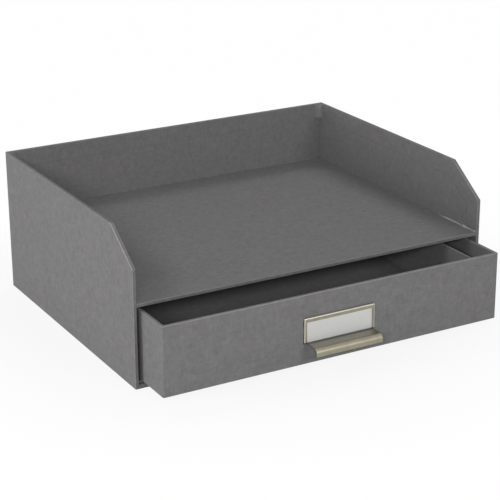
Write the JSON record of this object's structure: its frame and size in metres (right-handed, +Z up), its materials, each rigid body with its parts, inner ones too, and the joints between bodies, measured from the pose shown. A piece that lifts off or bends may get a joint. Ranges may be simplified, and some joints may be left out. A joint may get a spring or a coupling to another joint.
{
  "type": "envelope sorter with drawer",
  "caption": "Paper-covered desk tray with raised walls and cut front corners over a shallow drawer with a side compartment and a metal label-holder pull",
  "frame": {"origin": "middle of the casing's underside, on the surface that it stands on", "axes": "+X to the right as seen from the front, +Y to the back, +Z up; the drawer opens towards -Y"},
  "size_m": [0.33, 0.3108, 0.127],
  "materials": {
    "grey_board": "bare grey bookbinding board",
    "grey_paper": "matt mid-grey linen-finish covering paper",
    "holder_metal": "satin nickel-plated stamped steel",
    "label_stock": "plain off-white card"
  },
  "bodies": {
    "casing": {"base_board": "grey_board", "side_board_left": "grey_board", "side_board_right": "grey_board", "back_board": "grey_board", "shelf_board": "grey_board", "bay_floor_card": "grey_board", "outer_wrap": "grey_paper", "wall_lining": "grey_paper", "shelf_cover": "grey_paper", "bay_floor_cover": "grey_paper", "base_cover": "grey_paper"},
    "drawer": {"drawer_front_board": "grey_board", "drawer_back_board": "grey_board", "drawer_side_board_left": "grey_board", "drawer_side_board_right": "grey_board", "drawer_bottom_board": "grey_board", "drawer_wrap": "grey_paper", "drawer_lining": "grey_paper", "drawer_floor_paper": "grey_paper", "drawer_base_cover": "grey_paper", "divider_board": "grey_board", "divider_cover": "grey_paper", "label_holder": "holder_metal"},
    "label_card": {"label_card": "label_stock"}
  },
  "joints": [
    {"name": "drawer_slide", "type": "slide", "parent": "casing", "child": "drawer", "axis": [0, -1, 0], "range_m": [-0.0355, 0.1645]},
    {"name": "label_card_slide", "type": "slide", "parent": "drawer", "child": "label_card", "axis": [0, 0, 1], "range_m": [0, 0.022]}
  ]
}
